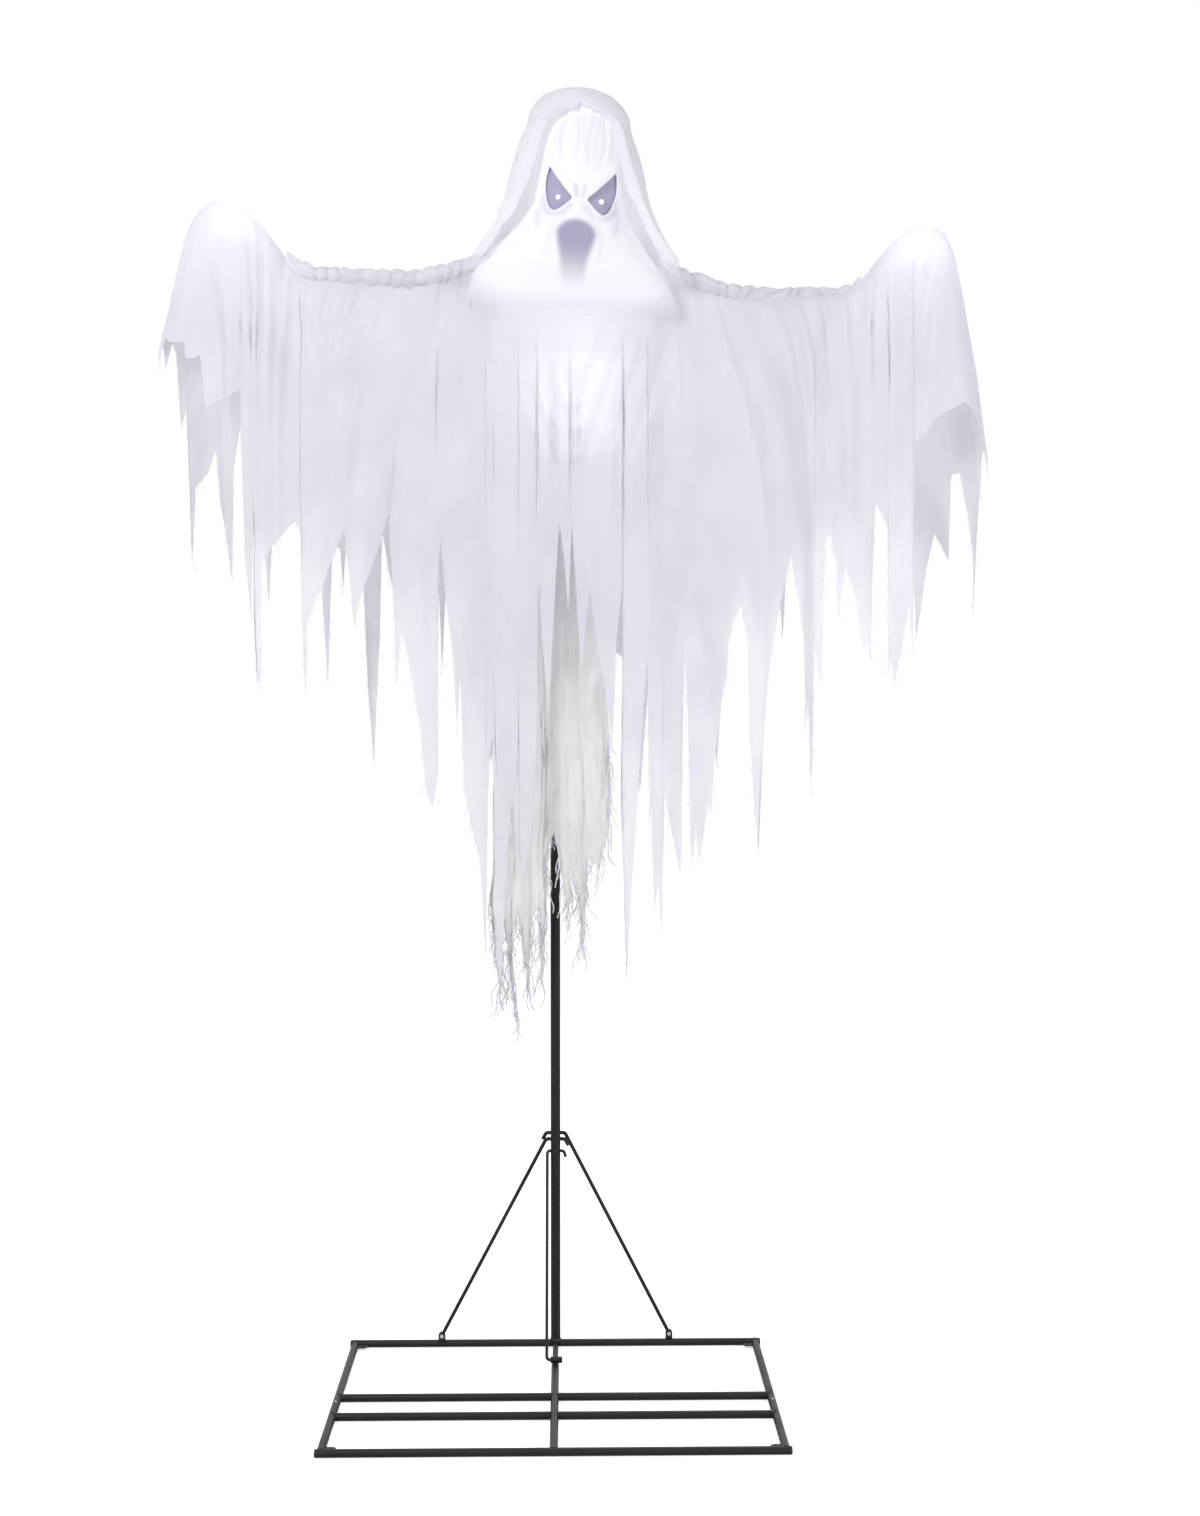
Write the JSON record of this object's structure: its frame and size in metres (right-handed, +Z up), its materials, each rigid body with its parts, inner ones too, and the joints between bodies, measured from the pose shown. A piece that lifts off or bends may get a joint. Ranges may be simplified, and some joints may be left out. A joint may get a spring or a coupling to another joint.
{
  "type": "animated ghost figure",
  "caption": "Standing animated ghost with a hooded, torn white robe, lit mask and hands, a turning head and geared lifting arms, on a braced pole and plug-together tube base.",
  "frame": {"origin": "on the floor, under the middle of the overall box", "axes": "+Z up, -Y towards the viewer of the figure's front, +X to that viewer's right"},
  "size_m": [2.112, 0.8167, 3.2473],
  "materials": {
    "black_steel": "satin black powder coat",
    "zinc_steel": "zinc plated",
    "plate": "mill finish",
    "cap_plastic": "black",
    "case_plastic": "dark grey",
    "gear_plastic": "ivory acetal",
    "motor": "plated can",
    "bushing": "plain",
    "diffuser": "frosted, lit from inside",
    "board": "solder mask",
    "speaker": "paper cone and frame",
    "button_red": "gloss",
    "arm_tube": "drawn tube",
    "mask": "frosted, lit from inside",
    "screen": "grey gauze",
    "robe_cloth": "sheer white cloth",
    "lining_cloth": "open gauze"
  },
  "bodies": {
    "stand": {"rear_tube": "black_steel", "front_tube": "black_steel", "rear_side_rails": "black_steel", "front_side_rails": "black_steel", "rear_centre_rail": "black_steel", "front_centre_rail": "black_steel", "rear_cross_bars": "black_steel", "front_cross_bars": "black_steel", "tube_end_caps": "cap_plastic", "stake_tabs": "black_steel", "pole_spigot": "black_steel", "pole_lower": "black_steel", "pole_upper": "black_steel", "left_brace": "black_steel", "right_brace": "black_steel", "brace_lugs": "black_steel", "brace_pins": "zinc_steel", "hook_rod": "black_steel", "spine_plate": "plate", "pole_clamps": "zinc_steel", "clamp_screws": "zinc_steel", "gear_case_rear": "case_plastic", "gear_case_front": "case_plastic", "case_screws": "zinc_steel", "arm_pivot_pins": "zinc_steel", "arm_motor": "motor", "neck_bracket": "plate", "neck_bushing": "bushing", "head_motor": "motor", "control_box": "case_plastic", "chest_lamp": "diffuser", "circuit_board": "board", "speaker": "speaker", "robe_hoop": "zinc_steel", "robe_front": "robe_cloth", "robe_back": "robe_cloth", "robe_lining": "lining_cloth"},
    "head": {"neck_shaft": "zinc_steel", "head_gear": "gear_plastic", "head_carrier": "case_plastic", "head_shell": "mask", "mask": "mask", "face_screens": "screen", "eye_lights": "diffuser", "head_lamp": "diffuser", "hood": "robe_cloth"},
    "head_pinion_body": {"head_pinion": "gear_plastic"},
    "left_arm": {"left_arm_gear": "gear_plastic", "left_arm_tube": "arm_tube", "left_hand_lamp": "diffuser", "left_sleeve": "robe_cloth"},
    "right_arm": {"right_arm_gear": "gear_plastic", "right_arm_tube": "arm_tube", "right_hand_lamp": "diffuser", "right_sleeve": "robe_cloth"},
    "arm_pinion_body": {"arm_pinion": "gear_plastic"},
    "left_rail_button_body": {"left_rail_button": "zinc_steel"},
    "right_rail_button_body": {"right_rail_button": "zinc_steel"},
    "pole_button_body": {"pole_button": "zinc_steel"},
    "power_button_body": {"power_button": "button_red"}
  },
  "joints": [
    {"name": "head_turn", "type": "hinge", "parent": "stand", "child": "head", "pos_m": [0, 0.21413, 2.84], "axis": [0, 0, 1], "range_deg": [-30, 30]},
    {"name": "head_pinion_spin", "type": "hinge", "parent": "stand", "child": "head_pinion_body", "pos_m": [0.04157, 0.19012, 2.84], "axis": [0, 0, 1], "range_deg": [-95, 95]},
    {"name": "left_arm_lift", "type": "hinge", "parent": "stand", "child": "left_arm", "pos_m": [-0.05, 0.26613, 2.768], "axis": [0, 1, 0], "range_deg": [-12, 12]},
    {"name": "right_arm_lift", "type": "hinge", "parent": "stand", "child": "right_arm", "pos_m": [0.05, 0.26613, 2.768], "axis": [0, 1, 0], "range_deg": [-12.5, 12.5]},
    {"name": "arm_pinion_spin", "type": "hinge", "parent": "stand", "child": "arm_pinion_body", "pos_m": [-0.05, 0.26613, 2.703], "axis": [0, 1, 0], "range_deg": [-42, 42]},
    {"name": "left_rail_button_press", "type": "slide", "parent": "stand", "child": "left_rail_button_body", "axis": [0, 0, -1], "range_m": [0, 0.003], "stiffness_N_per_m": 600, "springref_m": -0.002},
    {"name": "right_rail_button_press", "type": "slide", "parent": "stand", "child": "right_rail_button_body", "axis": [0, 0, -1], "range_m": [0, 0.003], "stiffness_N_per_m": 600, "springref_m": -0.002},
    {"name": "pole_button_press", "type": "slide", "parent": "stand", "child": "pole_button_body", "axis": [0, 1, 0], "range_m": [0, 0.004], "stiffness_N_per_m": 600, "springref_m": -0.002},
    {"name": "power_button_press", "type": "slide", "parent": "stand", "child": "power_button_body", "axis": [1, 0, 0], "range_m": [0, 0.003], "stiffness_N_per_m": 400, "springref_m": -0.002}
  ],
  "couplings": [
    {"joint": "head_pinion_spin", "follows": "head_turn", "ratio": -3},
    {"joint": "right_arm_lift", "follows": "left_arm_lift", "ratio": -1},
    {"joint": "arm_pinion_spin", "follows": "left_arm_lift", "ratio": -3.3333}
  ]
}
